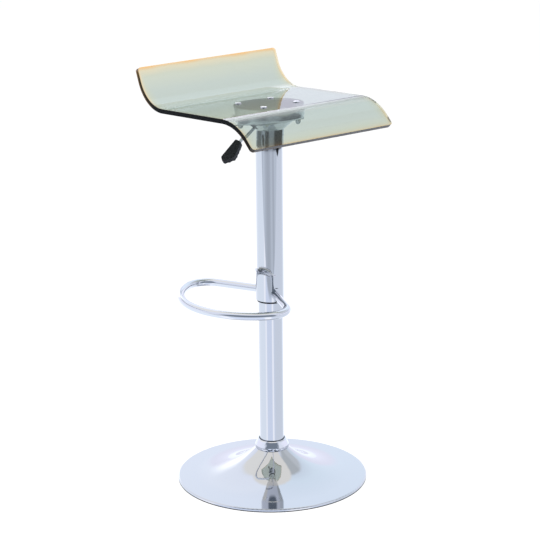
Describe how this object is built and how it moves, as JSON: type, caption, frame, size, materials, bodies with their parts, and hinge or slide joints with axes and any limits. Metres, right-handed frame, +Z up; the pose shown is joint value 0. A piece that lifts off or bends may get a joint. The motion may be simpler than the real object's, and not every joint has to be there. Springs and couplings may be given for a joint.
{
  "type": "bar stool",
  "caption": "Swivel bar stool: bent clear acrylic seat on a chromed gas lift column with a turning footrest loop, release lever and round trumpet base.",
  "frame": {"origin": "on the floor, on the column's axis", "axes": "+Z up along the column, -Y towards the seat's front, -X towards the sitter's right, where the release lever is"},
  "size_m": [0.3933, 0.4011, 0.8578],
  "materials": {
    "acrylic": "clear cast acrylic sheet with a light smoked green-grey tint, polished edges",
    "chrome_plate": "bright chrome plating on steel",
    "bright_steel": "ground and oiled steel",
    "dark_steel": "black lacquered steel",
    "ballast": "plain steel weight, primed dark grey",
    "black_plastic": "moulded black plastic with a fine texture",
    "black_rubber": "black rubber",
    "brass_cage": "stamped brass"
  },
  "bodies": {
    "base": {"base_shell": "chrome_plate", "base_ring": "chrome_plate", "base_socket": "dark_steel", "ballast_plate": "ballast", "floor_ring": "black_rubber", "lower_tube": "chrome_plate", "guide_bush": "black_plastic", "thrust_seat": "bright_steel", "lower_race": "bright_steel", "bearing_cage": "brass_cage", "bearing_balls": "bright_steel"},
    "spindle": {"piston_rod": "bright_steel", "piston": "black_plastic", "upper_race": "bright_steel", "bump_stop": "black_rubber", "rod_washer": "bright_steel", "rod_clip": "bright_steel"},
    "seat": {"seat_sheet": "acrylic", "seat_bolts": "chrome_plate", "seat_pad": "black_rubber", "mount_dish": "chrome_plate", "mount_plate": "chrome_plate", "mount_cone": "chrome_plate", "plate_washers": "chrome_plate", "cap_nuts": "chrome_plate", "taper_hub": "bright_steel", "pivot_bracket": "bright_steel", "pivot_pin": "bright_steel", "gas_cylinder": "dark_steel", "cylinder_gland": "black_plastic", "sleeve_clip": "bright_steel"},
    "lever": {"lever_rod": "chrome_plate", "lever_grip": "black_plastic"},
    "valve": {"valve_pin": "bright_steel"},
    "sleeve": {"sleeve_tube": "chrome_plate", "sleeve_top_bush": "black_plastic", "sleeve_bush": "black_plastic", "footrest_bracket": "chrome_plate", "footrest_loop": "chrome_plate"}
  },
  "joints": [
    {"name": "seat_swivel", "type": "hinge", "parent": "base", "child": "spindle", "pos_m": [0, 0, 0], "axis": [0, 0, 1], "continuous": true},
    {"name": "seat_lift", "type": "slide", "parent": "spindle", "child": "seat", "axis": [0, 0, 1], "range_m": [-0.21, 0]},
    {"name": "sleeve_turn", "type": "hinge", "parent": "seat", "child": "sleeve", "pos_m": [0, 0, 0], "axis": [0, 0, 1], "continuous": true},
    {"name": "lever_pull", "type": "hinge", "parent": "seat", "child": "lever", "pos_m": [-0.0155, 0, 0.7711], "axis": [0, 1, 0], "range_deg": [0, 9], "stiffness_Nm_per_rad": 0.8},
    {"name": "valve_press", "type": "slide", "parent": "seat", "child": "valve", "axis": [0, 0, -1], "range_m": [0, 0.0026], "stiffness_N_per_m": 400, "springref_m": -0.0003}
  ],
  "couplings": [
    {"joint": "valve_press", "follows": "lever_pull", "m_per_rad": 0.0155}
  ]
}
